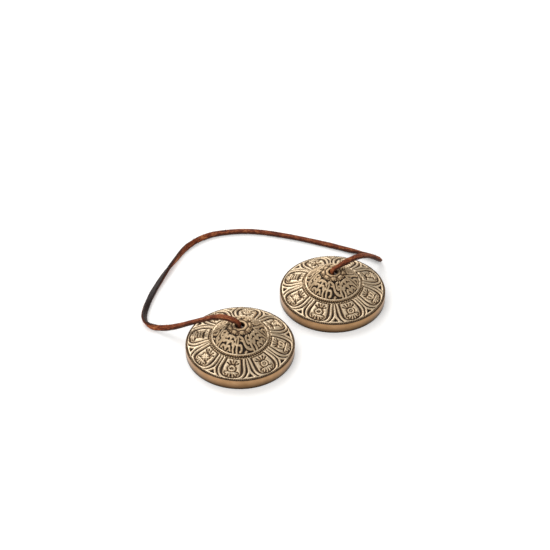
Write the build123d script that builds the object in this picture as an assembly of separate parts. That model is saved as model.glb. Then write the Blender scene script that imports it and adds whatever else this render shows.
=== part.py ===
from build123d import *

import os
from math import cos, pi, radians, sin, sqrt, tan

# A pair of small, thick hand cymbals that lie side by side on their rims, joined by one leather
# strap. Each end of the strap goes down through the hole in a dome and is knotted inside it.
# Millimetres. +Z is up, X runs through both holes, and the origin is midway between the two
# cymbals, on the surface that they rest on.

# ---- cymbal -----------------------------------------------------------------------------------
rim_radius = 32.5           # outside of the striking edge
rim_height = 6.7            # plain side wall of the striking edge
rim_chamfer = 0.4           # broken bottom corner of the side wall
lip_width = 3.6             # flat underside ring that the cymbal rests on
ring_radius = 17.0          # beaded ring where the flange meets the dome
ring_height = 11.8          # top of the flange at that ring
dome_bulge = 1.5            # how far the dome swells out from a straight cone
crown_radius = 4.2          # flat round the hole, on top of the dome
crown_height = 21.0         # top of the dome
flange_wall = 2.8           # metal thickness at the ring
crown_wall = 2.8            # metal thickness at the hole
hole_radius = 2.6           # hole in the crown for the strap
rim_gap = 9.4               # between the two striking edges as they lie

# ---- strap ------------------------------------------------------------------------------------
strap_width = 3.6
strap_thickness = 2.3
floor_clearance = 0.03      # under the strap where it lies beside the cymbals
crown_clearance = 0.18      # between the strap and the crown that it bends over
pivot_clearance = 0.06      # between the strap's round end and the top of the neck

# ---- knot -------------------------------------------------------------------------------------
knot_radius = 4.6
knot_height = 7.0
knot_round = 2.8            # rounding of the knot's top and bottom
seat_clearance = 0.15       # between the knot and the underside of the crown
tail_length = 8.0           # cut end of the strap, from the middle of the knot
tail_tilt = 40.0            # degrees from straight down

# ---- sizes that follow ------------------------------------------------------------------------
# the strap is drawn as a round cord with the same section area as the flat leather
cord_radius = sqrt(strap_width * strap_thickness / pi)
half_spacing = rim_radius + rim_gap / 2
pivot_height = crown_height + crown_clearance + cord_radius
seat_height = crown_height - crown_wall
bed = cord_radius + floor_clearance

left_pivot = (-half_spacing, 0, pivot_height)
right_pivot = (half_spacing, 0, pivot_height)

# The strap's centreline, from the left hole to the right one: over the left dome and down past
# its rim, round a close bend, behind both cymbals in one wide curve, and back to the right dome
# through a tight fold.
strap_route = [
    left_pivot,
    (-41, 6, 25.0), (-44.5, 13, 23.4), (-50, 24.5, 15.2), (-57.5, 38, 5.2),
    (-63, 46.5, bed), (-66, 52.5, bed), (-64.5, 58.5, bed), (-59, 64.5, bed),
    (-47, 73.6, bed), (-33, 81.6, bed), (-17.5, 89.2, bed), (-1, 96.2, bed),
    (17, 96.6, bed), (31.5, 89.3, bed), (43.5, 79, bed), (56, 61.5, bed),
    (66.8, 43, bed), (75, 27.2, bed), (79.5, 17, bed), (82.5, 11, bed),
    (84, 6.6, 2.0), (80.5, 4.2, 5.4), (73.5, 2.8, 11.8), (64, 1.4, 18.9),
    (54, 0.4, 22.4), (45.5, -0.1, 23.3),
    right_pivot,
]


def cymbal(centre_x):
    """One thick cymbal: side wall, sloping flange, dome and crown, hollow underneath."""
    crown = (crown_radius, crown_height)
    ring = (ring_radius, ring_height)
    seat = (crown_radius, seat_height)
    throat = (ring_radius - flange_wall / 2, ring_height - flange_wall)
    lip = (rim_radius - lip_width, 0)

    def bulged(start, end):
        """An arc from start to end that swells up and out by dome_bulge at its middle."""
        chord = Vector(end[0] - start[0], end[1] - start[1])
        normal = Vector(-chord.Y, chord.X).normalized() * dome_bulge
        middle = ((start[0] + end[0]) / 2 + normal.X, (start[1] + end[1]) / 2 + normal.Y)
        return ThreePointArc(start, middle, end)

    outline = [
        Line(lip, (rim_radius - rim_chamfer, 0)),
        Line((rim_radius - rim_chamfer, 0), (rim_radius, rim_chamfer)),
        Line((rim_radius, rim_chamfer), (rim_radius, rim_height)),
        Line((rim_radius, rim_height), ring),
        bulged(crown, ring),
        Line(crown, (hole_radius, crown_height)),
        Line((hole_radius, crown_height), (hole_radius, seat_height)),
        Line((hole_radius, seat_height), seat),
        bulged(seat, throat),
        Line(throat, lip),
    ]
    section = Plane.XZ * make_face(outline)
    return Pos(centre_x, 0, 0) * revolve(section, Axis.Z)


def knot(centre_x, tail_direction):
    """The strap's knotted end: a lump under the crown, its neck in the hole, and a cut tail."""
    top = seat_height - seat_clearance
    lump = Pos(0, 0, top - knot_height / 2) * Cylinder(knot_radius, knot_height)
    lump = fillet(lump.edges(), knot_round)
    neck_top = pivot_height - cord_radius - pivot_clearance
    neck_foot = top - knot_height / 2
    neck = Pos(0, 0, neck_foot) * Cylinder(
        cord_radius, neck_top - neck_foot, align=(Align.CENTER, Align.CENTER, Align.MIN))
    tail = Pos(0, 0, neck_foot) * Rot(0, 180 - tail_tilt, 0) * Cylinder(
        cord_radius, tail_length, align=(Align.CENTER, Align.CENTER, Align.MIN))
    whole = lump + neck + Rot(0, 0, tail_direction) * tail
    return Pos(centre_x, 0, 0) * whole


def corner_radii(points):
    """The largest arc that each corner's two runs allow, with a tenth of each run left straight."""
    radii = []
    for before, corner, after in zip(points, points[1:], points[2:]):
        run_in = corner - before
        run_out = after - corner
        half_turn = radians(run_in.get_angle(run_out)) / 2
        radii.append(0.45 * min(run_in.length, run_out.length) / tan(half_turn))
    return radii


def strap():
    """The strap between its two knots, with a round end where it bends into each hole."""
    points = [Vector(*point) for point in strap_route]
    radii = corner_radii(points)
    path = FilletPolyline(*points, radius=radii)
    start = Plane(origin=path @ 0, z_dir=path % 0)
    tube = sweep(start * Circle(cord_radius), path=path)
    print("strap radii:", ", ".join(f"{radius:.1f}" for radius in radii))
    print(f"strap length {path.length:.1f}, volume {tube.volume:.1f}, "
          f"section x length {pi * cord_radius ** 2 * path.length:.1f}")
    return tube + Pos(*left_pivot) * Sphere(cord_radius) + Pos(*right_pivot) * Sphere(cord_radius)


nodes = {
    "cymbal_left": cymbal(-half_spacing),
    "cymbal_right": cymbal(half_spacing),
    "knot_left": knot(-half_spacing, 260),
    "knot_right": knot(half_spacing, 75),
    "strap": strap(),
}

os.makedirs("parts", exist_ok=True)
for name, solid in nodes.items():
    solid.label = name
    export_step(solid, f"parts/{name}.step")
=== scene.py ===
"""Finger cymbals: two thick cast bronze cymbals with a raised lotus pattern, joined by one leather lace.

Lengths in the code are millimetres until a mesh or curve is made, which is in metres, in the frame of the
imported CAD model.
"""
import math
from functools import partial

import bpy
import numpy as np
from mathutils import Matrix, Vector
from bpy.props import FloatProperty, FloatVectorProperty, IntProperty, PointerProperty
from bpy.types import Operator, Panel, PropertyGroup


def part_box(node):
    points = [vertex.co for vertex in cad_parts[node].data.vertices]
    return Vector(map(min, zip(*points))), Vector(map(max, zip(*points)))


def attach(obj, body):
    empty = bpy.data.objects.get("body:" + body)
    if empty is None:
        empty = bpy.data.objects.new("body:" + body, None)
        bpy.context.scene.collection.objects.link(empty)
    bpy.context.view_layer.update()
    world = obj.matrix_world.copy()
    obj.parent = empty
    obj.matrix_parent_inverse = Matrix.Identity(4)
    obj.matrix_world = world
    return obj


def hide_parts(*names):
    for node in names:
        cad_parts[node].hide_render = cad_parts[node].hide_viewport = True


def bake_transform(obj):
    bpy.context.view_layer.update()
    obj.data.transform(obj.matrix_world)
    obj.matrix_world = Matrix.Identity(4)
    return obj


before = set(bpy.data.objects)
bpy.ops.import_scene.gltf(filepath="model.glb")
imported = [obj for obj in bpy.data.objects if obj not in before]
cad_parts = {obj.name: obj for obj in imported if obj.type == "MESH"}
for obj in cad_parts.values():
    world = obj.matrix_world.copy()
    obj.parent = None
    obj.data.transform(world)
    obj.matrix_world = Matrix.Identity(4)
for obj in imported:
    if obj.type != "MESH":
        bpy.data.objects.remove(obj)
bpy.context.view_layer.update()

bl_info = {
    "name": "Finger Cymbals",
    "version": (1, 0, 0),
    "blender": (4, 5, 0),
    "location": "3D View > Sidebar > Finger Cymbals",
    "description": "Makes a pair of cast bronze finger cymbals on a leather lace",
    "category": "Add Mesh",
}

MM = 0.001
SIDES = ("left", "right")
PETALS = 8  # and as many lobes on the dome
SECTOR = math.tau / PETALS


# ---------------------------------------------------------------- colours, nodes and meshes


def linear(hex_colour):
    """The linear colour, with alpha, of an sRGB hex value such as "#C8A878"."""
    channels = [int(hex_colour[i : i + 2], 16) / 255 for i in (1, 3, 5)]
    return (*[c / 12.92 if c <= 0.04045 else ((c + 0.055) / 1.055) ** 2.4 for c in channels], 1.0)


def feed(node, sources):
    """Links sources to a node's inputs. A source is an output, or a node, which stands for its first one."""
    for key, source in dict(sources).items():
        output = source.outputs[0] if isinstance(source, bpy.types.Node) else source
        node.id_data.links.new(output, node.inputs[key])


def add_node(tree, kind, settings=(), values=(), links=(), stops=()):
    """Adds a node: its own settings, its inputs' fixed values, its inputs' sources, and a ramp's stops."""
    node = tree.nodes.new(kind)
    for key, value in dict(settings).items():
        setattr(node, key, value)
    for key, value in dict(values).items():
        node.inputs[key].default_value = value
    feed(node, links)
    if stops:
        elements = node.color_ramp.elements
        while len(elements) < len(stops):
            elements.new(0.5)
        for element, (position, colour) in zip(elements, stops):
            element.position, element.color = position, colour
    return node


def new_material(name, values=()):
    """A node material: (the material, add_node for its tree, its Principled shader with those values)."""
    material = bpy.data.materials.new(name)
    material.use_nodes = True
    tree = material.node_tree
    tree.nodes.clear()
    shader = add_node(tree, "ShaderNodeBsdfPrincipled", values=values)
    add_node(tree, "ShaderNodeOutputMaterial", links={"Surface": shader})
    return material, partial(add_node, tree), shader


def mesh_piece(name, points, faces, materials, material_index=None, attributes=()):
    """A smooth-shaded mesh object in the scene; points are in millimetres, attributes are per point."""
    mesh = bpy.data.meshes.new(name)
    mesh.from_pydata((np.asarray(points, float) * MM).tolist(), [], [list(map(int, f)) for f in faces])
    for key, values in dict(attributes).items():
        values = np.asarray(values, np.float32)
        kind, field = ("FLOAT", "value") if values.ndim == 1 else ("FLOAT_VECTOR", "vector")
        mesh.attributes.new(key, kind, "POINT").data.foreach_set(field, values.ravel())
    for material in materials:
        mesh.materials.append(material)
    if material_index is not None:
        mesh.polygons.foreach_set("material_index", np.asarray(material_index, np.int32))
    mesh.polygons.foreach_set("use_smooth", np.ones(len(mesh.polygons), bool))
    mesh.validate()
    mesh.update()
    piece = bpy.data.objects.new(name, mesh)
    bpy.context.scene.collection.objects.link(piece)
    return piece


def smoothstep(x):
    """0 below 0, 1 above 1, and a smooth rise between."""
    x = np.clip(x, 0, 1)
    return x * x * (3 - 2 * x)


# ---------------------------------------------------------------- materials


def antiqued_bronze(sizes):
    """Bell bronze, cast with its pattern, blackened, and rubbed back by hand.

    The raised parts are bare metal, pale and half polished, and the hollows keep a dull dark brown patina,
    so that the pattern reads as light lines on dark ones from every side.
    """
    material, add, shader = new_material("antiqued cast bronze")
    place = add("ShaderNodeTexCoord").outputs["Object"]
    # the attribute holds the patina in the hollows, and painted shade down the crown's hole
    hollow = add("ShaderNodeAttribute", {"attribute_name": "hollow"}).outputs["Fac"]
    blotches = add("ShaderNodeTexNoise", values={"Scale": 1 / (6 * MM), "Detail": 4.0},
                   links={"Vector": place})  # patches where hands have rubbed more or less, 6 mm
    grains = add("ShaderNodeTexNoise", values={"Scale": 1 / (0.7 * MM), "Detail": 5.0, "Roughness": 0.65},
                 links={"Vector": place})  # cast skin, 0.7 mm: about twice as coarse as it is
    uneven = add("ShaderNodeMath", {"operation": "MULTIPLY_ADD"}, {1: 0.3, 2: -0.15}, {0: blotches})
    speckled = add("ShaderNodeMath", {"operation": "MULTIPLY_ADD"}, {1: 0.6, 2: -0.3}, {0: grains})
    both = add("ShaderNodeMath", {"operation": "ADD"}, {}, {0: uneven, 1: speckled})
    depth = add("ShaderNodeMath", {"operation": "ADD", "use_clamp": True}, {}, {0: hollow, 1: both})
    colour = add("ShaderNodeValToRGB", links={"Fac": depth}, stops=(
        (0.0, (*sizes.raised_colour, 1)), (0.3, (*sizes.flat_colour, 1)),
        (0.6, (*sizes.hollow_colour, 1)), (1.0, (*sizes.deep_colour, 1))))
    metal = add("ShaderNodeMapRange",
                values={"From Min": 0.45, "From Max": 0.95, "To Min": 1.0, "To Max": 0.25},
                links={"Value": depth})
    rough = add("ShaderNodeMapRange",
                values={"From Min": 0.0, "From Max": 0.8, "To Min": 0.46, "To Max": 0.75},
                links={"Value": depth})
    bump = add("ShaderNodeBump", values={"Strength": 0.8, "Distance": 0.16 * MM}, links={"Height": grains})
    feed(shader, {"Base Color": colour, "Metallic": metal, "Roughness": rough, "Normal": bump})
    return material


def turned_bronze(sizes):
    """The same bronze where the casting was skimmed on a lathe and buffed: side wall, foot and underside.

    It is a warmer orange-gold than the pattern, satin, with fine rings that follow the turning. Painted shade
    darkens the side wall towards its foot and the cup towards the hole.
    """
    material, add, shader = new_material("turned bronze", {"Metallic": 1.0})
    turning = add("ShaderNodeAttribute", {"attribute_name": "turning"}).outputs["Vector"]
    place = add("ShaderNodeTexCoord").outputs["Object"]
    rings = add("ShaderNodeTexNoise", values={"Scale": 1 / (0.3 * MM), "Detail": 3.0},
                links={"Vector": turning})  # tool marks, 0.3 mm apart
    tarnish = add("ShaderNodeTexNoise", values={"Scale": 1 / (9 * MM), "Detail": 5.0, "Roughness": 0.6},
                  links={"Vector": place})  # tarnish in patches of about 9 mm
    colour = add("ShaderNodeValToRGB", links={"Fac": tarnish}, stops=(
        (0.3, (*sizes.turned_colour, 1)), (0.75, (*sizes.tarnish_colour, 1))))
    shaded = add("ShaderNodeMix", {"data_type": "RGBA", "blend_type": "MULTIPLY"},
                 {"Factor": 0.22}, {"A": colour, "B": rings.outputs["Color"]})
    # painted shade: the side wall darkens towards its foot and the cup towards the hole, mixed to the deep
    # colour
    dull = add("ShaderNodeAttribute", {"attribute_name": "hollow"}).outputs["Fac"]
    with_painted_shade = add("ShaderNodeMix", {"data_type": "RGBA"}, {"B": (*sizes.deep_colour, 1)},
                {"Factor": dull, "A": shaded.outputs[2]})
    rough = add("ShaderNodeMapRange",
                values={"From Min": 0.3, "From Max": 0.7, "To Min": 0.24, "To Max": 0.4},
                links={"Value": rings})
    bump = add("ShaderNodeBump", values={"Strength": 0.35, "Distance": 0.03 * MM}, links={"Height": rings})
    feed(shader, {"Base Color": with_painted_shade.outputs[2], "Roughness": rough, "Normal": bump})
    return material


def leather(sizes):
    """Cowhide cut into a lace: dyed red-brown and fuzzy on its flesh side and cut edges, dark and smooth on
    its grain side. It has drawn-out fibres along its length, a soft sheen, and paler rubbed spots. Both cut
    edges are painted darker: painted shade, for the lower front edge that lies in shade."""
    material, add, shader = new_material("cut leather lace", {
        "Sheen Weight": 0.12, "Sheen Roughness": 0.5, "Sheen Tint": (*sizes.worn_colour, 1)})
    lace = add("ShaderNodeAttribute", {"attribute_name": "lace"}).outputs["Vector"]
    part = add("ShaderNodeSeparateXYZ", links={"Vector": lace})
    stretched = add("ShaderNodeMapping", values={"Scale": (0.22, 1.0, 1.0)}, links={"Vector": lace})
    fibres = add("ShaderNodeTexNoise",
                 values={"Scale": 1 / (0.45 * MM), "Detail": 6.0, "Roughness": 0.68},
                 links={"Vector": stretched})  # fibre bundles, 0.45 mm
    nap = add("ShaderNodeTexNoise", values={"Scale": 1 / (0.5 * MM), "Detail": 5.0, "Roughness": 0.7},
              links={"Vector": lace})
    dye = add("ShaderNodeTexNoise", values={"Scale": 1 / (7 * MM), "Detail": 3.0},
              links={"Vector": lace})  # dye taken up unevenly, in spots of about 7 mm
    grain_side = add("ShaderNodeMapRange", {"interpolation_type": "SMOOTHSTEP"},
                     {"From Min": 0.25 * MM, "From Max": -0.75 * MM, "To Min": 0.0, "To Max": 1.0},
                     {"Value": part.outputs["Z"]})
    tone = add("ShaderNodeMath", {"operation": "MULTIPLY_ADD"}, {1: 0.75}, {0: fibres})
    feed(tone, {2: add("ShaderNodeMath", {"operation": "MULTIPLY"}, {1: 0.3}, {0: dye})})
    brown = add("ShaderNodeValToRGB", links={"Fac": tone}, stops=(
        (0.4, (*sizes.fibre_gap_and_edge_shade_colour, 1)), (0.53, (*sizes.flesh_colour, 1)), (0.68, (*sizes.worn_colour, 1))))
    beside = add("ShaderNodeMath", {"operation": "ABSOLUTE"}, {}, {0: part.outputs["Y"]})
    edge_shade = add("ShaderNodeMapRange", {"interpolation_type": "SMOOTHSTEP"},
                   {"From Min": 1.3 * MM, "From Max": 1.75 * MM, "To Min": 0.0, "To Max": 0.72},
                   {"Value": beside})  # painted shade: both cut edges are darkened, for the lace's front edge in shade
    with_painted_shade = add("ShaderNodeMix", {"data_type": "RGBA"}, {"B": (*sizes.fibre_gap_and_edge_shade_colour, 1)}, {
        "Factor": edge_shade, "A": brown})
    dark = add("ShaderNodeValToRGB", links={"Fac": tone}, stops=(
        (0.35, (*[0.6 * c for c in sizes.grain_colour], 1)), (0.7, (*sizes.grain_colour, 1))))
    colour = add("ShaderNodeMix", {"data_type": "RGBA"}, {}, {
        "Factor": grain_side, "A": with_painted_shade.outputs[2], "B": dark})
    rough = add("ShaderNodeMapRange", values={"To Min": 0.72, "To Max": 0.5}, links={"Value": grain_side})
    gloss = add("ShaderNodeMapRange", values={"To Min": 0.2, "To Max": 0.24}, links={"Value": grain_side})
    height = add("ShaderNodeMath", {"operation": "ADD"}, {}, {0: fibres, 1: nap})
    bump = add("ShaderNodeBump", values={"Strength": 0.8, "Distance": 0.16 * MM}, links={"Height": height})
    feed(shader,
         {"Base Color": colour.outputs[2], "Roughness": rough, "Specular IOR Level": gloss, "Normal": bump})
    return material


def shared_material(name, make, *arguments):
    """The material of that name, made at its first use."""
    return bpy.data.materials.get(name) or make(*arguments)


# ---------------------------------------------------------------- raised pattern


def rounded(points, rounds=3):
    """A smooth line from a few given points: each round cuts every corner by a quarter."""
    line = np.array(points, float)
    for _ in range(rounds):
        a, b = line[:-1], line[1:]
        cut = np.stack([0.75 * a + 0.25 * b, 0.25 * a + 0.75 * b], 1).reshape(-1, 2)
        line = np.concatenate([line[:1], cut, line[-1:]])
    return line


def lengths(line):
    """How far along the line each of its points is."""
    return np.concatenate([[0], np.cumsum(np.linalg.norm(np.diff(line, axis=0), axis=1))])


def distance(x, y, line):
    """How far each point is from a line, in millimetres."""
    nearest = np.full(np.broadcast(x, y).shape, np.inf)
    for (ax, ay), (bx, by) in zip(line, line[1:]):
        dx, dy = bx - ax, by - ay
        t = np.clip(((x - ax) * dx + (y - ay) * dy) / max(dx * dx + dy * dy, 1e-9), 0, 1)
        nearest = np.minimum(nearest, (x - ax - t * dx) ** 2 + (y - ay - t * dy) ** 2)
    return np.sqrt(nearest)


def ridge(x, y, line, half_width):
    """1 along the rounded crest of a ridge that follows line, and 0 from half_width away."""
    return smoothstep(1.5 * (1 - distance(x, y, line) / half_width))


# Each line is points (across, outwards) in millimetres from the middle of a petal's panel.
FAN = [[(0.35 * a, -2.1), (a, b)] for a, b in
       ((-3.5, -2.9), (-2.1, -4.2), (0, -4.9), (2.1, -4.2), (3.5, -2.9))]
LOTUS = [[(0.45 * a, 2.9), (a, b)] for a, b in
         ((-3.4, 3.2), (-2.5, 4.3), (-0.9, 5.1), (0.9, 5.1), (2.5, 4.3), (3.4, 3.2))]
WHEEL = [rounded([(1.7 * math.cos(a), 0.2 + 1.5 * math.sin(a)) for a in np.linspace(0, math.tau, 13)], 1),
         [(-0.2, 0.2), (0.2, 0.2)]]
VASE = [rounded([(-0.9, -1.6), (-0.4, -0.9), (-2.0, 0.1), (-1.4, 1.5), (0, 1.8), (1.4, 1.5), (2.0, 0.1),
                 (0.4, -0.9), (0.9, -1.6)])]
SHELL = [rounded([(r * math.cos(a), 0.2 + 0.9 * r * math.sin(a)) for r, a in
                  zip(np.linspace(0.2, 2.2, 14), np.linspace(0, 8.4, 14))], 1)]
LATTICE = [[(-2.1, -0.6), (0.9, 1.8)], [(-0.9, -1.4), (2.1, 1.0)], [(-2.1, 1.2), (0.9, -1.4)],
           [(-0.9, 1.9), (2.1, -0.6)]]
PARASOL = [rounded([(-2.5, 0.6), (-1.6, -1.2), (0, -1.7), (1.6, -1.2), (2.5, 0.6)]), [(0, -0.2), (0, 1.9)],
           [(-1.3, 0.9), (-1.2, 1.8)], [(1.3, 0.9), (1.2, 1.8)]]
BANNER = [[(-1.7, -1.4), (1.7, -1.4)], [(-1.7, 0.2), (1.7, 0.2)], [(-1.5, 1.8), (1.5, 1.8)]]
FISHES = [rounded([(-2.3, -1.5), (-0.7, -0.9), (-0.7, 0.7), (-2.1, 1.8)]),
          rounded([(2.3, -1.5), (0.7, -0.9), (0.7, 0.7), (2.1, 1.8)])]
BLOOM = [rounded([(0, 1.9), (-0.3, 0.4), (0, -1.6), (0.3, 0.4), (0, 1.9)]),
         rounded([(-0.6, 1.8), (-2.3, 0.9), (-2.5, -1.0)]), rounded([(0.6, 1.8), (2.3, 0.9), (2.5, -1.0)])]
EMBLEMS = (VASE, WHEEL, BLOOM, SHELL, PARASOL, FISHES, BANNER, LATTICE)

GROUND = -0.62  # how far the grooves between the raised parts lie below the plain flange
# Where each ring of the flange starts, as its radius in millimetres.
SCORED_GROOVE, PIT, PLAIN_BAND, BEAD_TRACK, LIP = 18.35, 27.9, 30.7, 31.2, 32.3
SCORES = 72  # marks round the groove at the foot of the dome
# Half outlines, as (across, radius) in millimetres, from the inner ring to the petal's end: the raised panel
# and the middle of the ridge that frames it.
PANEL = rounded([(4.4, 18.7), (5.0, 21.4), (5.6, 24.4), (5.6, 27.2), (4.5, 29.4), (2.4, 30.4), (0, 30.6)])
FRAME = rounded([(5.7, 18.3), (6.5, 21.3), (7.4, 24.4), (7.7, 27.4), (6.6, 29.9), (4.4, 31.1), (0, 31.8)])


def petal_relief(across, radius, emblem):
    """Height of the pattern over one petal's sector, in millimetres: 0 is the plain flange."""
    side = np.abs(across)
    height = GROUND + (0.22 - GROUND) * ridge(side, radius, FRAME, 1.05)
    panel = side < np.interp(radius, PANEL[:, 1], PANEL[:, 0], left=0, right=0)
    panel = np.where(panel, smoothstep(distance(side, radius, PANEL) / 0.75), 0)
    panel = panel * smoothstep((radius - 18.7) / 0.7)
    x, y = across, radius - 24.6
    drawn, sunk, cut = (np.zeros_like(height) for _ in range(3))
    for line in emblem:
        drawn = np.maximum(drawn, ridge(x, y, line, 0.75))
        sunk = np.maximum(sunk, ridge(x, y, line, 1.9))
    for line in LOTUS:
        drawn = np.maximum(drawn, ridge(x, y, line, 0.66))
        sunk = np.maximum(sunk, 1.3 * ridge(x, y, line, 1.7))
    for line in FAN:
        cut = np.maximum(cut, ridge(x, y, line, 0.72))
    swell = 0.25 * np.clip(1 - (across / 5.0) ** 2, 0, 1)
    top = 0.1 + swell + 0.12 * drawn - 0.7 * sunk * (1 - drawn) - 0.75 * cut
    return np.maximum(height, GROUND + (top - GROUND) * panel)


def flange_relief(angle, radius):
    """Height over the whole flange. angle 0 is the middle of a petal; both are arrays of the same shape."""
    number = np.round(angle / SECTOR).astype(int)
    across = (angle - number * SECTOR) * radius
    # the pattern was carved by hand into its mould, so no two petals are quite alike
    across = across + 0.3 * np.sin(0.35 * radius + 2.1 * number)
    height = np.zeros_like(radius)
    for k, emblem in enumerate(EMBLEMS):
        here = number % PETALS == k
        height[here] = petal_relief(across[here], radius[here], emblem)
    # between two petals: a rib that widens outwards into a plain field with a small sunk triangle in it
    beside = SECTOR * radius / 2 - np.abs(across)
    rib = np.interp(radius, [18.4, 25.0, 27.0, 28.5, 30.0, 31.0], [0.7, 0.75, 1.2, 2.3, 3.6, 5.2])
    height = np.maximum(height, GROUND + (0.12 - GROUND) * smoothstep((rib - beside) / 0.5))
    pit = smoothstep((0.8 * (radius - 27.7) - beside) / 0.4)
    height = height - 0.9 * pit * smoothstep((radius - PIT) / 0.5) * smoothstep((30.5 - radius) / 0.4)
    # the pale plain band, the sunk bead track at the rim, and the scored groove round the dome
    band = smoothstep((radius - PLAIN_BAND) / 0.4)
    height = height * (1 - band) + 0.14 * band
    track = smoothstep((radius - BEAD_TRACK) / 0.25)
    height = height * (1 - track) - 0.3 * track
    lip = smoothstep((radius - LIP) / 0.15)
    height = height * (1 - lip) - 0.02 * lip
    groove = 1 - smoothstep((radius - SCORED_GROOVE) / 0.4)
    scored = 0.5 + 0.5 * np.cos(angle * SCORES)
    return height * (1 - groove) + groove * (-0.42 + 0.36 * scored * smoothstep((radius - 17.4) / 0.5))


# Lines on the dome, as points (degrees from the middle of a lobe, millimetres down the slope from the
# crown), a half width and a share of the full height. Leaf lobes are the same on both sides of their middle.
DOME_LEAF = [
    ([(0, 4.6), (0, 13.8)], 0.95, 0.8),
    ([(1.5, 5.8), (9.0, 4.6), (15.0, 7.0)], 0.95, 1.0),
    ([(1.0, 9.2), (8.0, 7.6), (14.5, 10.2)], 1.0, 1.0),
    ([(1.0, 12.6), (7.0, 10.9), (12.0, 13.6)], 0.95, 0.95),
    ([(22.5, 4.6), (20.0, 8.4), (18.0, 12.0), (19.0, 14.4)], 0.95, 1.0),
    ([(5.0, 14.4), (7.5, 13.6)], 0.5, 0.8), ([(15.0, 8.6), (16.0, 9.4)], 0.5, 0.7),
]
DOME_SCROLL = [
    ([(-22.5, 4.6), (-17.5, 8.0), (-19.0, 14.4)], 0.9, 1.0),
    ([(22.5, 4.6), (19.5, 8.0), (20.0, 14.4)], 0.9, 1.0),
    ([(-16.0, 4.2), (-8.0, 5.2), (0, 8.4), (8.0, 11.8), (15.0, 13.2)], 1.1, 1.0),
    ([(13.0, 4.6), (5.0, 5.2), (8.0, 7.8), (14.5, 9.2)], 0.9, 1.0),
    ([(-14.5, 9.4), (-7.0, 9.8), (-5.0, 12.2), (-11.5, 13.8)], 0.95, 1.0),
    ([(0, 14.4), (3.5, 13.6)], 0.8, 0.9), ([(-12.0, 6.8), (-5.5, 7.6)], 0.55, 0.7),
    ([(13.5, 6.6), (14.5, 7.4)], 0.6, 0.8), ([(7.5, 10.2), (13.0, 11.2)], 0.5, 0.7),
]
DOME_GROUND = -0.55


def dome_relief(angle, radius, slope):
    """Height over the dome: leaf lobes and scrolls by turns, and a rosette on top."""
    number = np.round(angle / SECTOR).astype(int)
    turn = angle - number * SECTOR
    plain = slope
    x = turn * radius + 0.45 * np.sin(0.55 * slope + 1.7 * number)
    waver = smoothstep((slope - 4) / 2) * smoothstep((14 - slope) / 2)  # none at the crown or the foot
    slope = slope + 0.35 * np.sin(1.1 * x + 2.3 * number) * waver
    height = np.full(x.shape, DOME_GROUND)
    for odd, lines in ((0, DOME_LEAF), (1, DOME_SCROLL)):
        here = number % 2 == odd
        for points, half_width, tall in lines:
            line = [(math.radians(a) * np.interp(s, plain[:, 0], radius[:, 0]), s) for a, s in points]
            across = x[here] if odd else np.abs(x[here])
            away = distance(across, slope[here], rounded(line))
            crest = smoothstep(1.5 * (1 - away / half_width))
            crest = crest - 0.3 * smoothstep(1 - away / (0.45 * half_width))  # a vein along its middle
            height[here] = np.maximum(height[here], DOME_GROUND + (0.5 * tall - DOME_GROUND) * crest)
    # the crown: a smooth collar round the hole, then eight low bumps
    collar = 1 - smoothstep((slope - 0.15) / 0.4)
    height = height * (1 - collar)
    upper = 1 - smoothstep((slope - 3.5) / 0.3)
    bumps = ridge(turn * radius, slope, [(-0.5, 1.9), (0.5, 1.9)], 1.45)
    height = height * (1 - upper) + upper * np.maximum(-0.3 * (1 - collar), -0.3 + 0.75 * bumps)
    # the plain ridge at the foot of the dome
    foot = smoothstep((slope - 14.6) / 0.25)
    edge = np.clip(1 - ((slope - 15.35) / 0.6) ** 2, 0, 1) ** 0.6
    return height * (1 - foot) + foot * (-0.35 + 0.8 * edge)


def softened(height, rounds):
    """Heights averaged with their neighbours round the ring and along it, a number of times."""
    for _ in range(rounds):
        height = (np.roll(height, 1, 1) + 2 * height + np.roll(height, -1, 1)) / 4
        padded = np.concatenate([height[:1], height, height[-1:]])
        height = (padded[:-2] + 2 * padded[1:-1] + padded[2:]) / 4
    return height


def hollows(height):
    """How far each point lies below what is around it, from 0 on crests to 1 in pits."""
    around = softened(height, 16)
    return np.clip(0.06 + 2.3 * (around - height) - 0.4 * height, 0, 1)


def bowed(start, end, count, bow):
    """count points from start to end on a shallow arc that swells outwards by bow, and their normals."""
    start, end = np.array(start, float), np.array(end, float)
    t = np.linspace(0, 1, count)[:, None]
    along = end - start
    out = np.array([-along[1], along[0]]) / np.linalg.norm(along)
    out = out if out[1] > 0 else -out
    points = start + t * along + 4 * bow * t * (1 - t) * out
    tangent = along + 4 * bow * (1 - 2 * t) * out
    normal = np.stack([-tangent[:, 1], tangent[:, 0]], 1) / np.linalg.norm(tangent, axis=1)[:, None]
    return points, np.where(normal[:, 1:] > 0, normal, -normal)


def ring_points(profile, normals, height, columns, start_angle):
    """The points of rings: profile is (radius, z) for each ring, raised by height along its normal."""
    angle = start_angle + np.arange(columns) * math.tau / columns
    r = profile[:, :1] + height * normals[:, :1]
    z = profile[:, 1:] + height * normals[:, 1:]
    return np.stack([r * np.cos(angle), r * np.sin(angle), np.broadcast_to(z, r.shape)], 2)


def ring_faces(first, rings, columns):
    """Quads between neighbouring rings, whose points start at index first."""
    index = first + np.arange(rings * columns).reshape(rings, columns)
    after = np.roll(index, -1, 1)
    return np.stack([index[:-1], index[1:], after[1:], after[:-1]], 2).reshape(-1, 4).tolist()


def joined_faces(a, b, count):
    """Quads between two rings of count points whose first indices are a and b."""
    return [(a + j, b + j, b + (j + 1) % count, a + (j + 1) % count) for j in range(count)]


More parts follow.
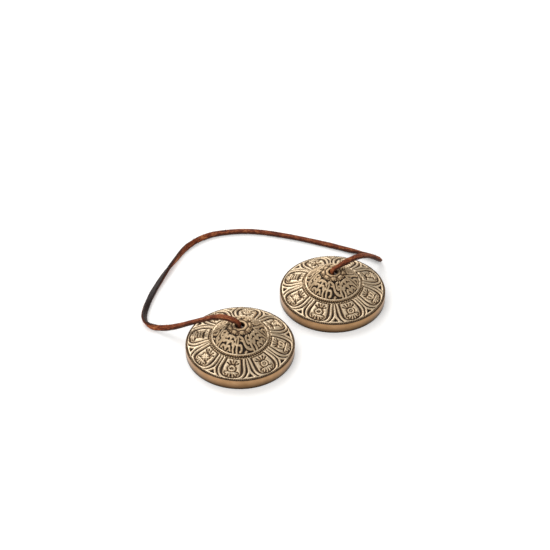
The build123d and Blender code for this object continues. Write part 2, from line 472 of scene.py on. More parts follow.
def stepped_faces(coarse, fine, count, fine_below=True):
    """Faces between a ring of count points and a ring of twice as many; coarse, fine are first indices."""
    faces = []
    for j in range(count):
        c, d = coarse + j, coarse + (j + 1) % count
        f, g, h = fine + 2 * j, fine + 2 * j + 1, fine + (2 * j + 2) % (2 * count)
        three = [(c, f, g), (c, g, d), (d, g, h)]
        faces += three if fine_below else [t[::-1] for t in three]
    return faces


# Petal middles, in degrees from +X seen from above. The two castings lie turned differently.
PETAL_TURN = {"left": 219.0, "right": 208.2}
# (radius, z) of the corners of a casting's section; the dome and its hollow swell outwards between theirs.
HOLE, CROWN, RING, FLANGE_EDGE = (2.6, 21.0), (4.2, 21.0), (17.0, 11.8), (32.5, 6.7)
SEAT, THROAT, FOOT_INNER, FOOT_OUTER = (4.2, 18.2), (15.6, 9.0), (28.9, 0.0), (32.1, 0.0)
DOME_BOW = 1.5
FINE, COARSE = 720, 360  # points round each ring of the flange, and round every other ring
DOME_RINGS, FLANGE_RINGS = 70, 84
PATTERNED, TURNED = 0, 1  # a casting's two materials
# How dark the side wall is painted at each height in millimetres, and the underside at each radius: painted
# shade, darkest at the wall's foot and in the cup near the hole; the small rise at the wall's top edge is
# patina.
WALL_DARKNESS = [0, 0.8, 2.0, 3.4, 5.0, 6.2, 6.6], [1, 0.92, 0.6, 0.3, 0.08, 0.1, 0.35]
CUP_DARKNESS = [2.6, 6, 16, 28.8, 28.9], [0.6, 0.35, 0.12, 0.05, 0.0]


def casting(side, sizes, materials):
    """One cymbal as a closed mesh: patterned top, rounded rim, turned side wall, foot and underside."""
    low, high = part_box(f"cymbal_{side}")
    centre = np.array([(low.x + high.x) / 2, (low.y + high.y) / 2, 0]) / MM
    turn = math.radians(PETAL_TURN[side])
    points, faces, hollow, index, rows = [], [], [], [], []
    total = 0

    def add_faces(new, material):
        faces.extend(new)
        index.extend([material] * len(new))

    def add_rings(profile, normals, height, columns, material, depth, length=None):
        nonlocal total
        grid = ring_points(profile, normals, height, columns, turn)
        rings = len(profile)
        points.append(grid.reshape(-1, 3))
        add_faces(ring_faces(total, rings, columns), material)
        hollow.append(depth.ravel())
        along = np.zeros(rings) if length is None else length
        angle = np.arange(columns) * math.tau / columns
        rows.append(np.stack([np.repeat(along, columns), np.tile(0.4 * np.cos(angle), rings),
                              np.tile(0.4 * np.sin(angle), rings)], 1))
        total += rings * columns
        return total - rings * columns, total - columns

    # crown and dome
    dome, dome_normals = bowed(CROWN, RING, DOME_RINGS, DOME_BOW)
    angle = np.tile(np.arange(COARSE) * math.tau / COARSE, (DOME_RINGS, 1)) + SECTOR / 2
    slope = np.repeat(lengths(dome)[:, None], COARSE, 1)
    height = softened(dome_relief(angle, np.repeat(dome[:, :1], COARSE, 1), slope), 1) * sizes.relief_depth
    depth = np.clip(hollows(height) + 0.2 + 0.08 * (slope < 3.6), 0, 1)
    depth[slope > 14.8] = np.clip(depth[slope > 14.8] - 0.2, 0, 1)
    # painted shade: the wall and edge of the hole are painted near black for the shade down in it; the collar
    # round it gets patina
    crown = np.array([(HOLE[0], HOLE[1] - 0.5), (HOLE[0] + 0.12, HOLE[1] - 0.12), (HOLE[0] + 0.5, HOLE[1]),
                      (HOLE[0] + 1.0, HOLE[1])])
    first_crown, last_crown = add_rings(crown, np.tile([0.0, 1.0], (4, 1)), np.zeros((4, COARSE)), COARSE,
                                        PATTERNED, np.repeat([[0.95], [0.8], [0.45], [0.35]], COARSE, 1))
    first_dome, last_dome = add_rings(dome, dome_normals, height, COARSE, PATTERNED, depth)
    add_faces(joined_faces(last_crown, first_dome, COARSE), PATTERNED)
    # flange
    fall = np.array(FLANGE_EDGE) - RING
    flange = np.array(RING) + np.linspace(0.012, 1, FLANGE_RINGS)[:, None] * fall
    normals = np.tile(np.array([-fall[1], fall[0]]) / np.linalg.norm(fall), (FLANGE_RINGS, 1))
    angle = np.tile(np.arange(FINE) * math.tau / FINE, (FLANGE_RINGS, 1))
    radius = np.repeat(flange[:, :1], FINE, 1)
    height = softened(flange_relief(angle, radius), 1) * sizes.relief_depth
    depth = hollows(height)
    depth[radius > 31.3] = np.clip(depth[radius > 31.3] + 0.8, 0, 1)
    depth[radius < 18.3] = np.clip(depth[radius < 18.3] + 0.2, 0, 1)
    flange[-1, 0] -= 0.25
    first_flange, last_flange = add_rings(flange, normals, height, FINE, PATTERNED, depth)
    add_faces(stepped_faces(last_dome, first_flange, COARSE), PATTERNED)
    # side wall, foot and underside, down and back up to the hole
    side_wall = [(32.42, 6.55), (32.5, 6.35)] + [(32.5, z) for z in (6.0, 4.8, 3.6, 2.8, 2.0, 1.3, 0.7)]
    foot = [(32.44, 0.28), (32.3, 0.1), FOOT_OUTER, (31.2, 0.0), (30.0, 0.0), (29.2, 0.0), FOOT_INNER]
    hollow_side, _ = bowed(FOOT_INNER, THROAT, 5, 0.0)
    under_dome, _ = bowed(SEAT, THROAT, 12, DOME_BOW)
    profile = np.array(side_wall + foot + [tuple(p) for p in hollow_side[1:]]
                       + [tuple(p) for p in under_dome[::-1][1:]]
                       + [(3.4, 18.2), (HOLE[0], 18.3), (HOLE[0], 19.4)])
    wall = profile[:, 0] > FOOT_OUTER[0] + 0.1
    # painted shade on the side wall's foot and on the underside of the cup
    depth = np.where(wall, np.interp(profile[:, 1], *WALL_DARKNESS), np.interp(profile[:, 0], *CUP_DARKNESS))
    flat = np.zeros((len(profile), COARSE))
    first_side, last_side = add_rings(profile, np.zeros((len(profile), 2)), flat, COARSE, TURNED,
                                      depth[:, None] + flat, lengths(profile))
    add_faces(stepped_faces(first_side, last_flange, COARSE, fine_below=False), PATTERNED)
    add_faces(joined_faces(last_side, first_crown, COARSE), TURNED)
    points = np.concatenate(points) + centre
    return mesh_piece(f"casting_{side}", points, faces, materials, index,
                      {"hollow": np.concatenate(hollow), "turning": np.concatenate(rows) * MM})


# ---------------------------------------------------------------- beads, by Geometry Nodes


def node_group(name, sockets):
    """A Geometry Nodes tree with named inputs: (tree, add_node for it, its inputs, their identifiers)."""
    tree = bpy.data.node_groups.new(name, "GeometryNodeTree")
    tree.interface.new_socket("Geometry", in_out="OUTPUT", socket_type="NodeSocketGeometry")
    identifiers = {}
    for key, kind, default in sockets:
        socket = tree.interface.new_socket(key, in_out="INPUT", socket_type=f"NodeSocket{kind}")
        if default is not None:
            socket.default_value = default
        identifiers[key] = socket.identifier
    return tree, partial(add_node, tree), add_node(tree, "NodeGroupInput").outputs, identifiers


def bead_tree(material):
    """A node tree that sets beads round a circle: named inputs for the ring's radius, height, count, size."""
    tree, add, given, identifiers = node_group("ring of beads", (
        ("Ring Radius", "Float", 0.03), ("Ring Height", "Float", 0.007), ("Bead Radius", "Float", 0.0005),
        ("Flatness", "Float", 0.7), ("Patina", "Float", 0.12), ("Count", "Int", 100), ("Seed", "Int", 3)))
    circle = add("GeometryNodeMeshCircle",
                 links={"Vertices": given["Count"], "Radius": given["Ring Radius"]})
    height = add("ShaderNodeCombineXYZ", links={"Z": given["Ring Height"]})
    lifted = add("GeometryNodeSetPosition", links={"Geometry": circle, "Offset": height})
    spot = add("GeometryNodeInputPosition")
    flat = add("ShaderNodeVectorMath", {"operation": "MULTIPLY"}, {1: (1, 1, 0)}, {0: spot})
    turn = add("FunctionNodeAlignRotationToVector", {"axis": "X"}, links={"Vector": flat})
    bead = add("GeometryNodeMeshUVSphere", values={"Segments": 8, "Rings": 5},
               links={"Radius": given["Bead Radius"]})
    low = add("ShaderNodeSeparateXYZ", links={0: spot})
    share = add("ShaderNodeMath", {"operation": "DIVIDE"}, {},
                {0: low.outputs["Z"], 1: given["Bead Radius"]})
    patina = add("ShaderNodeMapRange", values={"From Min": 1.0, "From Max": 0.0, "To Max": 1.0},
                 links={"Value": share, "To Min": given["Patina"]})
    dulled = add("GeometryNodeStoreNamedAttribute", {"data_type": "FLOAT", "domain": "POINT"},
                 {"Name": "hollow"}, {"Geometry": bead, "Value": patina})
    jitter = add("FunctionNodeRandomValue", {"data_type": "FLOAT"}, {2: 0.85, 3: 1.12},
                 {"Seed": given["Seed"]})
    squash = add("ShaderNodeCombineXYZ", links={"Z": given["Flatness"]}, values={"X": 1.0, "Y": 1.0})
    size = add("ShaderNodeVectorMath", {"operation": "SCALE"}, links={
        0: squash, "Scale": jitter.outputs[1]})
    beads = add("GeometryNodeInstanceOnPoints",
                links={"Points": lifted, "Instance": dulled, "Rotation": turn, "Scale": size})
    real = add("GeometryNodeRealizeInstances", links={"Geometry": beads})
    smooth = add("GeometryNodeSetShadeSmooth", links={"Geometry": real})
    made = add("GeometryNodeSetMaterial", values={"Material": material}, links={"Geometry": smooth})
    add("NodeGroupOutput", links={"Geometry": made})
    return tree, identifiers


def from_nodes(name, tree, sockets, values, base=None):
    """A plain mesh object from one evaluation of a node tree, with its inputs set by identifier."""
    holder = bpy.data.objects.new(name, base or bpy.data.meshes.new(name))
    bpy.context.scene.collection.objects.link(holder)
    modifier = holder.modifiers.new("made", "NODES")
    modifier.node_group = tree
    for key, value in values.items():
        modifier[sockets[key]] = value
    evaluated = holder.evaluated_get(bpy.context.evaluated_depsgraph_get())
    mesh = bpy.data.meshes.new_from_object(evaluated)
    holder.modifiers.remove(modifier)
    holder.data = mesh
    mesh.name = name
    return holder


# ---------------------------------------------------------------- the lace


# The strap's route, in millimetres in the model's frame, from the left hole round to the right one. It
# repeats the CAD route's points, but they are a little lower where the lace lies flat on the table, a
# little higher where it stands on its edge, and drawn in by up to 1.6 mm at the fold on the right.
BED = 1.35  # height of the line where the lace lies flat
ROUTE = [
    (-37.2, 0, 22.8), (-41, 6, 25.0), (-44.5, 13, 23.4), (-50, 24.5, 15.2), (-57.5, 38, 5.2),
    (-63, 46.5, 1.9), (-66, 52.5, 2.0), (-64.5, 58.5, 2.0), (-59, 64.5, 2.0), (-47, 73.6, 1.8),
    (-33, 81.6, 1.6), (-17.5, 89.2, BED), (-1, 96.2, BED), (17, 96.6, BED), (31.5, 89.3, BED),
    (43.5, 79, BED), (56, 61.5, BED), (66.8, 43, BED), (75, 27.2, 1.5), (79.5, 17, 1.7),
    (82.3, 10.2, 1.8), (83.4, 5.2, 2.3), (80.3, 3.5, 5.3), (73.5, 2.8, 11.8), (64, 1.4, 18.9),
    (54, 0.4, 22.4), (45.5, -0.1, 23.3), (37.2, 0, 22.8),
]
CUT = 4.0  # the knotted ends reach this far along the route
FIBRE_LENGTH, FIBRE_THICKNESS, FIBRE_SEED = 0.9 * MM, 0.09 * MM, 5
RING_STEP = 0.45  # between two rings of points along the lace
LACE = {"width": 3.6, "thickness": 2.3}
# An overhand knot, as (towards its tail, across, z) in millimetres, from the tail to the neck.
KNOT = [
    (5.5, -0.1, 8.7), (5.4, -0.4, 10.6), (5.0, -0.8, 12.6), (4.4, -1.2, 14.1), (3.2, -1.3, 14.3),
    (2.1, -1.1, 13.6), (0, 0, 13.2), (-2.1, 1.1, 13.6), (-3.5, 1.2, 14.7), (-3.5, 0, 15.9),
    (-2.3, -1.1, 16.5), (-0.4, -1.2, 16.1), (1.2, 0, 14.8), (1.8, 1.2, 13.1), (1.3, 1.2, 11.7),
    (0, 0, 11.2), (-1.3, -1.2, 11.7), (-1.8, -1.2, 13.1), (-1.2, 0, 14.8), (0.3, 1.1, 16.1),
]
TAIL_TURN = {"left": 260.0, "right": 75.0}  # degrees from +X, seen from above
NECK_LEAN = {"left": (-0.3, 0.4), "right": (-0.7, 0.2)}  # the lace is drawn to one side of its hole
# Turn of the lace about its own line, in degrees, at millimetres along the route: flat at 0.
TWIST = [(0, 0), (40, 0), (54, -25), (66, -110), (80, -150), (98, -185), (120, -235), (140, -290),
         (160, -340), (180, -360), (235, -360), (256, -364), (264, -388), (276, -425), (288, -420),
         (304, -408), (340, -408)]


def spline_points(name, route):
    """Points in millimetres along a NURBS spline of order 3 whose control points are the route's."""
    curve = bpy.data.curves.new(name, "CURVE")
    curve.dimensions = "3D"
    curve.resolution_u = 14
    spline = curve.splines.new("NURBS")
    spline.points.add(len(route) - 1)
    for point, place in zip(spline.points, route):
        point.co = (*[c * MM for c in place], 1)
    spline.order_u = 3
    spline.use_endpoint_u = True
    bare = bpy.data.objects.new(name, curve)
    mesh = bpy.data.meshes.new_from_object(bare)
    line = np.array([v.co for v in mesh.vertices], float) / MM
    bpy.data.meshes.remove(mesh)
    bpy.data.objects.remove(bare)
    bpy.data.curves.remove(curve)
    return line


def even(line, step):
    """The line again, with points step apart."""
    along = lengths(line)
    at = np.linspace(0, along[-1], max(2, round(along[-1] / step) + 1))
    return np.stack([np.interp(at, along, line[:, k]) for k in range(3)], 1)


def bridge(a, b, count=14):
    """A smooth link from the end of line a to the start of line b, without those two points."""
    start, end = a[-1], b[0]
    reach = np.linalg.norm(end - start)
    out = (a[-1] - a[-2]) / np.linalg.norm(a[-1] - a[-2]) * reach * 1.1
    into = (b[1] - b[0]) / np.linalg.norm(b[1] - b[0]) * reach * 1.1
    t = np.linspace(0, 1, count)[1:-1, None]
    return ((2 * t**3 - 3 * t**2 + 1) * start + (t**3 - 2 * t**2 + t) * out
            + (3 * t**2 - 2 * t**3) * end + (t**3 - t**2) * into)


def knot_line(side):
    """The line of one knotted end, from its cut tail to the neck in the hole."""
    centre = np.array([(-37.2 if side == "left" else 37.2), 0.0])
    turn = math.radians(TAIL_TURN[side])
    c, s = math.cos(turn), math.sin(turn)
    places = [(centre[0] + x * c - y * s, x * s + y * c, z) for x, y, z in KNOT]
    lean = np.array(NECK_LEAN[side])
    places += [(*(centre + 0.8 * lean), 17.7), (*(centre + lean), 19.2), (*(centre + lean), 20.4),
               (*(centre + lean), 21.3)]
    return spline_points(f"knot line {side}", places)


def frames(line):
    """Face normal and width direction at each point, turned as little as the line allows."""
    tangent = np.gradient(line, axis=0)
    tangent /= np.linalg.norm(tangent, axis=1)[:, None]
    middle = len(line) // 2
    normal = np.zeros_like(line)
    start = np.array([0, 0, 1.0])
    normal[middle] = start - (start @ tangent[middle]) * tangent[middle]
    normal[middle] /= np.linalg.norm(normal[middle])
    for order in (range(middle + 1, len(line)), range(middle - 1, -1, -1)):
        last = normal[middle]
        for i in order:
            last = last - (last @ tangent[i]) * tangent[i]
            last /= np.linalg.norm(last)
            normal[i] = last
    return normal, np.cross(tangent, normal)


def section(count, width, thickness):
    """Points round a rounded rectangle, width by thickness, from the middle of its flesh side."""
    angle = np.linspace(0, math.tau, count, endpoint=False)
    power = 0.5
    x = np.sign(np.sin(angle)) * np.abs(np.sin(angle)) ** power
    y = np.sign(np.cos(angle)) * np.abs(np.cos(angle)) ** power
    shrink = 1 - 0.06 * np.minimum(np.abs(x), np.abs(y)) ** 4
    return np.stack([x * shrink * width / 2, y * shrink * thickness / 2], 1)


def lace_mesh(name, line, normal, width_axis, along, scale, wobble, material):
    """A closed tube of lace sections along a stretch of the whole line."""
    count = 24
    rings = len(line)
    outline = section(count, LACE["width"], LACE["thickness"])
    points = np.zeros((rings, count, 3))
    local = np.zeros((rings, count, 3))
    for i in range(rings):
        w = outline[:, 0] * scale[i, 0] * (1 + wobble[i, :, 0])
        t = outline[:, 1] * scale[i, 1] * (1 + wobble[i, :, 1])
        points[i] = line[i] + w[:, None] * width_axis[i] + t[:, None] * normal[i]
        local[i] = np.stack([np.full(count, along[i]), outline[:, 0], outline[:, 1]], 1)
    index = np.arange(rings * count).reshape(rings, count)
    after = np.roll(index, -1, 1)
    faces = np.stack([index[:-1], after[:-1], after[1:], index[1:]], 2).reshape(-1, 4).tolist()
    ends = np.array([line[0], line[-1]])
    places = np.concatenate([points.reshape(-1, 3), ends])
    locals_ = np.concatenate([local.reshape(-1, 3), [[along[0], 0, 0.2], [along[-1], 0, 0.2]]])
    near, far = rings * count, rings * count + 1
    faces += [(near, index[0, (j + 1) % count], index[0, j]) for j in range(count)]
    faces += [(far, index[-1, j], index[-1, (j + 1) % count]) for j in range(count)]
    edge = np.abs(locals_[:, 1]) / (LACE["width"] / 2) * (np.abs(locals_[:, 2]) > 0.3)
    return mesh_piece(name, places, faces, [material], None,
                      {"lace": locals_ * MM, "fuzz": np.clip(edge * 3 - 1.6, 0, 1)})


def slow_noise(rng, count, spacing, columns=1):
    """Smooth random values along a line: hand-cut leather is never quite even."""
    knots = rng.normal(size=(max(4, int(count / spacing) + 4), columns))
    at = np.linspace(1, len(knots) - 2.001, count)
    i = at.astype(int)
    t = smoothstep(at - i)[:, None]
    return knots[i] * (1 - t) + knots[i + 1] * t


# ---------------------------------------------------------------- settings


def colour_property(name, description, hex_colour):
    """A colour setting whose default is an sRGB hex value."""
    return FloatVectorProperty(name=name, description=description, subtype="COLOR", size=3, min=0, max=1,
                               default=linear(hex_colour)[:3])


class CastingSettings(PropertyGroup):
    """What a user would change about the two castings."""

    relief_depth: FloatProperty(name="Relief depth", description="Share of the pattern's full depth",
                                default=1.15, min=0, max=1.5, subtype="FACTOR")
    rim_beads: IntProperty(name="Rim beads", description="Beads round the rim", default=176, min=20)
    ring_beads: IntProperty(name="Ring beads", description="Beads round the dome", default=84, min=20)
    crown_beads: IntProperty(name="Crown beads", description="Beads below the rosette", default=30, min=8)
    rim_bead: FloatProperty(name="Rim bead radius", description="Radius of a bead on the rim",
                            default=0.0005, unit="LENGTH")
    ring_bead: FloatProperty(name="Ring bead radius", description="Radius of a bead round the dome",
                             default=0.00058, unit="LENGTH")
    crown_bead: FloatProperty(name="Crown bead radius", description="Radius of a bead on the crown",
                              default=0.00062, unit="LENGTH")
    raised_colour: colour_property("Raised bronze", "Bare metal on the crests", "#E9D3B3")
    flat_colour: colour_property("Flat bronze", "Metal on the flats", "#CBAF8A")
    hollow_colour: colour_property("Patina", "Brown patina in the hollows", "#6B5038")
    # also the colour of the painted shade at the side wall's foot and in the cup
    deep_colour: colour_property("Deep patina", "Nearly black patina in the pits", "#1A110A")
    turned_colour: colour_property("Turned bronze", "Buffed metal of the side wall", "#CFA479")
    tarnish_colour: colour_property("Tarnish", "Duller patches of the side wall", "#AD845A")


class LaceSettings(PropertyGroup):
    """What a user would change about the leather lace."""

    width: FloatProperty(name="Width", description="Width of the lace", default=0.0036, unit="LENGTH")
    thickness: FloatProperty(name="Thickness", description="Thickness of the lace", default=0.0023,
                             unit="LENGTH")
    fibre_density: FloatProperty(name="Fibres", description="Stray fibres per square metre of cut edge",
                                 default=180000.0, min=0)
    flesh_colour: colour_property("Flesh side", "Red-brown suede side and cut edges", "#7C3517")
    # also the colour of the painted shade on the lace's cut edges
    fibre_gap_and_edge_shade_colour: colour_property("Between fibres", "Darker dye between fibres", "#2A0F06")
    worn_colour: colour_property("Worn fibres", "Paler rubbed fibres", "#CB8450")
    grain_colour: colour_property("Grain side", "Dark smooth side", "#1D0C0A")


class StageSettings(PropertyGroup):
    """The plain studio round the cymbals."""

    floor_colour: colour_property("Floor", "Pale plain floor", "#F4F3F1")
    floor_glow: FloatProperty(name="Floor glow", description="Light that the backlit floor gives off",
                              default=0.35, min=0)
    sky_strength: FloatProperty(name="Fill light", description="Strength of the light from all round",
                                default=0.42, min=0)
    key_power: FloatProperty(name="Key light", description="Power of the large soft light", default=9.5,
                             min=0, unit="POWER")
    side_power: FloatProperty(name="Side light", description="Power of the soft light on the left",
                              default=3.2, min=0, unit="POWER")
    lens: FloatProperty(name="Lens", description="Focal length on a 36 mm wide frame", default=107.02,
                        min=10)


# ---------------------------------------------------------------- operators


# The camera looks at its target from a distance in metres; azimuth and elevation are in degrees.
VIEW = {"target": (0.0247, 0.03956, 0.0), "distance": 1.0277, "azimuth": -41.267, "elevation": 40.253,
        "roll": 0.00517}
FLOOR_REACH = 3000  # millimetres each way
LAMPS = (("key", (0.3, 0.85, 0.82), 1.0), ("side", (-0.8, -0.15, 0.55), 0.7))  # name, place, size in metres
# Rings of beads: name, radius and height in millimetres, flatness, and depth of the patina between them.
BEAD_RINGS = (("rim", 31.85, 6.8, 0.75, 0.42), ("ring", 17.2, 11.75, 0.8, 0.18),
              ("crown", 7.3, 19.9, 0.75, 0.25))


class FINGERCYMBALS_OT_stage(Operator):
    """Add the camera, the pale floor and the soft studio lights"""

    bl_idname = "finger_cymbals.add_stage"
    bl_label = "Camera, Floor and Lights"

    def execute(self, context):
        settings = context.scene.cymbal_stage
        scene = context.scene
        data = bpy.data.cameras.new("camera")
        data.sensor_width, data.lens = 36.0, settings.lens
        camera = bpy.data.objects.new("camera", data)
        scene.collection.objects.link(camera)
        azimuth, elevation = math.radians(VIEW["azimuth"]), math.radians(VIEW["elevation"])
        back = Vector((math.sin(azimuth) * math.cos(elevation), -math.cos(azimuth) * math.cos(elevation),
                       math.sin(elevation)))
        target = Vector(VIEW["target"])
        turn = (-back).to_track_quat("-Z", "Y").to_matrix() @ Matrix.Rotation(VIEW["roll"], 3, "Z")
        camera.matrix_world = Matrix.Translation(target + back * VIEW["distance"]) @ turn.to_4x4()
        data.clip_start, data.clip_end = 0.02, 20.0
        scene.camera = camera

        # a light table: matte white sheet lit from below, which keeps contact shadows pale
        material, add, shader = new_material("backlit opal acrylic", {
            "Base Color": (*settings.floor_colour, 1), "Roughness": 0.95, "Specular IOR Level": 0.1,
            "Emission Color": (1.0, 1.0, 1.0, 1)})
        tooth = add("ShaderNodeTexNoise", values={"Scale": 1 / (1.5 * MM), "Detail": 3.0},
                    links={"Vector": add("ShaderNodeTexCoord").outputs["Object"]})
        bump = add("ShaderNodeBump", values={"Strength": 0.05, "Distance": 0.02 * MM},
                   links={"Height": tooth})
        feed(shader, {"Normal": bump})
        # the glow goes out wherever a casting covers the floor, or it would light the cup and the hole
        uncovered = add("ShaderNodeAmbientOcclusion", {"samples": 4}, {"Distance": 30 * MM})
        glow = add("ShaderNodeMapRange", {"interpolation_type": "SMOOTHSTEP"},
                   {"From Min": 0.05, "From Max": 0.3}, {"Value": uncovered.outputs["AO"]})
        strength = add("ShaderNodeMath", {"operation": "MULTIPLY"}, {1: settings.floor_glow}, {0: glow})
        feed(shader, {"Emission Strength": strength})
        corners = [(x * FLOOR_REACH, y * FLOOR_REACH, 0) for x, y in ((-1, -1), (1, -1), (1, 1), (-1, 1))]
        floor = mesh_piece("floor", corners, [(0, 1, 2, 3)], [material])

        world = bpy.data.worlds.new("studio")
        scene.world = world
        world.use_nodes = True
        background = world.node_tree.nodes["Background"]
        background.inputs["Color"].default_value = (1.0, 1.0, 1.0, 1)
        seen = add_node(world.node_tree, "ShaderNodeLightPath").outputs["Is Camera Ray"]
        level = add_node(world.node_tree, "ShaderNodeMapRange",
                         values={"To Min": settings.sky_strength, "To Max": 1.0}, links={"Value": seen})
        feed(background, {"Strength": level})
        for (name, place, size), power in zip(LAMPS, (settings.key_power, settings.side_power)):
            light = bpy.data.lights.new(name, "AREA")
            light.shape, light.size, light.energy = "SQUARE", size, power
            lamp = bpy.data.objects.new(name, light)
            lamp.location = place
            lamp.rotation_mode = "QUATERNION"
            lamp.rotation_quaternion = (target - Vector(place)).to_track_quat("-Z", "Y")
            scene.collection.objects.link(lamp)
        scene.view_settings.view_transform = "Standard"
        return {"FINISHED"}


class FINGERCYMBALS_OT_lace(Operator):
    """Add the leather lace with its knotted ends"""

    bl_idname = "finger_cymbals.add_lace"
    bl_label = "Leather Lace"

    def execute(self, context):
        settings = context.scene.cymbal_lace
        LACE.update(width=settings.width / MM, thickness=settings.thickness / MM)
        material = shared_material("cut leather lace", leather, settings)
        whole, length, (nearest_start, nearest_end), free = whole_lace()
        rng = np.random.default_rng(11)
        rings = len(whole)
        normal, across = twisted(*frames(whole), length, rng)
        lift_off_table(whole, normal, across)
        # drawn thinner where it is pulled through the hole and into the knot
        total = length[nearest_end] + CUT
        inside = np.maximum(smoothstep((3.2 - length) / 3.0), smoothstep((length - total + 10) / 5.0))
        scale = np.stack([1 - 0.2 * inside, 1 - 0.12 * inside], 1)
        scale[:, 0] *= 1 + 0.03 * slow_noise(rng, rings, 16)[:, 0]
        scale[:, 1] *= 1 + 0.03 * slow_noise(rng, rings, 12)[:, 0]
        wobble = np.stack([0.02 * slow_noise(rng, rings, 4, 24), 0.025 * slow_noise(rng, rings, 4, 24)], 2)

        def stretch(name, a, b):
            part = slice(a, b + 1)
            return lace_mesh(name, whole[part], normal[part], across[part], length[part], scale[part],
                             wobble[part], material)

        left = stretch("knotted_end_left", 0, nearest_start)
        strap = stretch("lace", nearest_start, nearest_end)
        right = stretch("knotted_end_right", nearest_end, rings - 1)
        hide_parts("knot_left")
        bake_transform(left)
        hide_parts("knot_right")
        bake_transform(right)
        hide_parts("strap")
        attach(strap, "strap")
        fibres = add_fibres(strap, settings, material)
        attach(fibres, "strap")
        return {"FINISHED"}


def whole_lace():
    """The lace's line from tail to tail, how far along the route each point is, and where the ends begin.

    Also the free part of the route, which lies between the two knotted ends.
    """
    route = spline_points("lace route", ROUTE)
    along = lengths(route)
    free = route[(along > CUT) & (along < along[-1] - CUT)]
    start, end = knot_line("left"), knot_line("right")[::-1]
    whole = even(np.concatenate([start, bridge(start, free), free, bridge(free, end), end]), RING_STEP)
    for _ in range(3):
        whole[1:-1] = (whole[:-2] + 2 * whole[1:-1] + whole[2:]) / 4
    ends = [int(np.linalg.norm(whole - place, axis=1).argmin()) for place in (free[0], free[-1])]
    length = lengths(whole)
    return whole, length - length[ends[0]] + CUT, ends, free


def twisted(normal, across, length, rng):
    """The two directions again, turned about the line by TWIST and a few degrees of unevenness."""
    twist = np.radians(np.interp(length, *np.array(TWIST, float).T))
    for _ in range(30):
        twist[1:-1] = (twist[:-2] + 2 * twist[1:-1] + twist[2:]) / 4
    twist = twist + np.radians(4) * slow_noise(rng, len(length), 30)[:, 0]
    c, s = np.cos(twist)[:, None], np.sin(twist)[:, None]
    return c * normal + s * across, c * across - s * normal


def lift_off_table(whole, normal, across):
    """Raises the line where the lace stands on its edge, so that it rests on the table."""
    reach = LACE["width"] / 2 * np.abs(across[:, 2]) + LACE["thickness"] / 2 * np.abs(normal[:, 2])
    rise = np.maximum(reach + 0.06 - whole[:, 2], 0)
    for _ in range(12):
        rise[1:-1] = np.maximum(rise[1:-1], (rise[:-2] + 2 * rise[1:-1] + rise[2:]) / 4)
    whole[:, 2] += rise


def add_fibres(strap, settings, material):
    """Stray fibres that stand off the cut edges of the lace: thin short spikes, by Geometry Nodes."""
    tree, add, given, identifiers = node_group("stray fibres", (
        ("Geometry", "Geometry", None), ("Density", "Float", 1e5), ("Length", "Float", FIBRE_LENGTH),
        ("Thickness", "Float", FIBRE_THICKNESS), ("Seed", "Int", FIBRE_SEED)))
    fuzz = add("GeometryNodeInputNamedAttribute", {"data_type": "FLOAT"}, {"Name": "fuzz"})
    density = add("ShaderNodeMath", {"operation": "MULTIPLY"}, {}, {
        0: fuzz.outputs["Attribute"], 1: given["Density"]})
    spots = add("GeometryNodeDistributePointsOnFaces", {"distribute_method": "RANDOM"}, {}, {
        "Mesh": given["Geometry"], "Density": density, "Seed": given["Seed"]})
    spike = add("GeometryNodeMeshCone", values={"Vertices": 4, "Radius Top": 0.00002}, links={
        "Radius Bottom": given["Thickness"], "Depth": given["Length"]})
    tilt = add("FunctionNodeRandomValue", {"data_type": "FLOAT_VECTOR"},
               {0: (-1.1, -1.1, 0.0), 1: (1.1, 1.1, 3.0)}, {"Seed": given["Seed"]})
    turned = add("FunctionNodeRotateRotation", {"rotation_space": "LOCAL"}, {}, {
        "Rotation": spots.outputs["Rotation"], "Rotate By": tilt})
    size = add("FunctionNodeRandomValue", {"data_type": "FLOAT"}, {2: 0.4, 3: 1.2}, {"Seed": given["Seed"]})
    placed = add("GeometryNodeInstanceOnPoints", links={
        "Points": spots, "Instance": spike,
        "Rotation": turned, "Scale": size.outputs[1]})
    real = add("GeometryNodeRealizeInstances", links={"Geometry": placed})
    above = add("ShaderNodeVectorMath", {"operation": "MAXIMUM"}, {1: (-10, -10, 0.02 * MM)},
                {0: add("GeometryNodeInputPosition").outputs[0]})
    lifted = add("GeometryNodeSetPosition", links={"Geometry": real, "Position": above})
    made = add("GeometryNodeSetMaterial", values={"Material": material}, links={"Geometry": lifted})
    add("NodeGroupOutput", links={"Geometry": made})
    return from_nodes("lace_fibres", tree, identifiers, {
        "Density": settings.fibre_density, "Length": FIBRE_LENGTH, "Thickness": FIBRE_THICKNESS,
        "Seed": FIBRE_SEED}, base=strap.data.copy())


class FINGERCYMBALS_OT_castings(Operator):
    """Add the two bronze castings with their raised pattern"""

    bl_idname = "finger_cymbals.add_castings"
    bl_label = "Bronze Castings"

    def execute(self, context):
        settings = context.scene.cymbal_castings
        materials = [shared_material("antiqued cast bronze", antiqued_bronze, settings),
                     shared_material("turned bronze", turned_bronze, settings)]
        for side in SIDES:
            piece = casting(side, settings, materials)
            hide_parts(f"cymbal_{side}")
            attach(piece, f"cymbal_{side}")
        return {"FINISHED"}


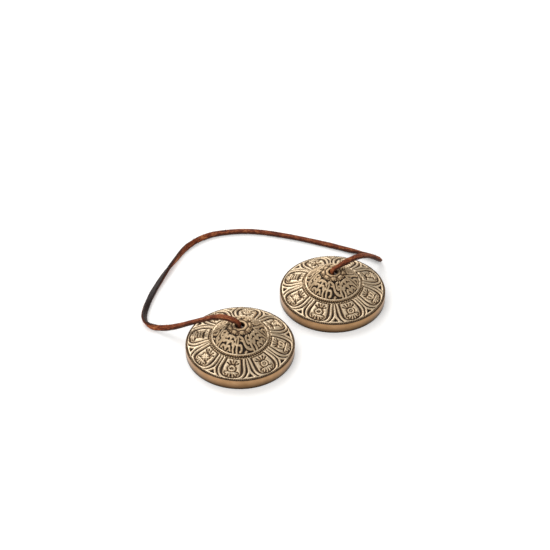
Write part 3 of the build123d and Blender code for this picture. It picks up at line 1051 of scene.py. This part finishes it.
class FINGERCYMBALS_OT_beads(Operator):
    """Add the rings of cast beads round each rim, dome and crown"""

    bl_idname = "finger_cymbals.add_beads"
    bl_label = "Bead Rings"

    def execute(self, context):
        settings = context.scene.cymbal_castings
        material = shared_material("antiqued cast bronze", antiqued_bronze, settings)
        tree, sockets = bead_tree(material)
        for side in SIDES:
            low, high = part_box(f"cymbal_{side}")
            for name, radius, height, flatness, patina in BEAD_RINGS:
                piece = from_nodes(f"{name}_beads_{side}", tree, sockets, {
                    "Ring Radius": radius * MM, "Ring Height": height * MM, "Flatness": flatness,
                    "Bead Radius": getattr(settings, f"{name}_bead"), "Patina": patina,
                    "Count": getattr(settings, f"{name}_beads"), "Seed": 3 + SIDES.index(side)})
                piece.data.transform(Matrix.Translation(((low.x + high.x) / 2, (low.y + high.y) / 2, 0)))
                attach(piece, f"cymbal_{side}")
        return {"FINISHED"}


class FINGERCYMBALS_PT_panel(Panel):
    """The add-on's panel in the 3D view's sidebar"""

    bl_label = "Finger Cymbals"
    bl_idname = "FINGERCYMBALS_PT_panel"
    bl_space_type = "VIEW_3D"
    bl_region_type = "UI"
    bl_category = "Finger Cymbals"

    def draw(self, context):
        layout = self.layout
        for operator in OPERATORS:
            layout.operator(operator.bl_idname)
        for group, owner in ((CastingSettings, context.scene.cymbal_castings),
                             (LaceSettings, context.scene.cymbal_lace),
                             (StageSettings, context.scene.cymbal_stage)):
            box = layout.box()
            for key in group.__annotations__:
                box.prop(owner, key)


OPERATORS = (FINGERCYMBALS_OT_stage, FINGERCYMBALS_OT_lace, FINGERCYMBALS_OT_castings,
             FINGERCYMBALS_OT_beads)
CLASSES = (CastingSettings, LaceSettings, StageSettings, *OPERATORS, FINGERCYMBALS_PT_panel)


def register():
    for cls in CLASSES:
        bpy.utils.register_class(cls)
    bpy.types.Scene.cymbal_castings = PointerProperty(type=CastingSettings)
    bpy.types.Scene.cymbal_lace = PointerProperty(type=LaceSettings)
    bpy.types.Scene.cymbal_stage = PointerProperty(type=StageSettings)


def unregister():
    del bpy.types.Scene.cymbal_stage, bpy.types.Scene.cymbal_lace, bpy.types.Scene.cymbal_castings
    for cls in reversed(CLASSES):
        bpy.utils.unregister_class(cls)


def main():
    """Makes everything in order."""
    register()
    bpy.ops.finger_cymbals.add_stage()
    bpy.ops.finger_cymbals.add_lace()
    bpy.ops.finger_cymbals.add_castings()
    bpy.ops.finger_cymbals.add_beads()


if __name__ == "__main__":
    main()
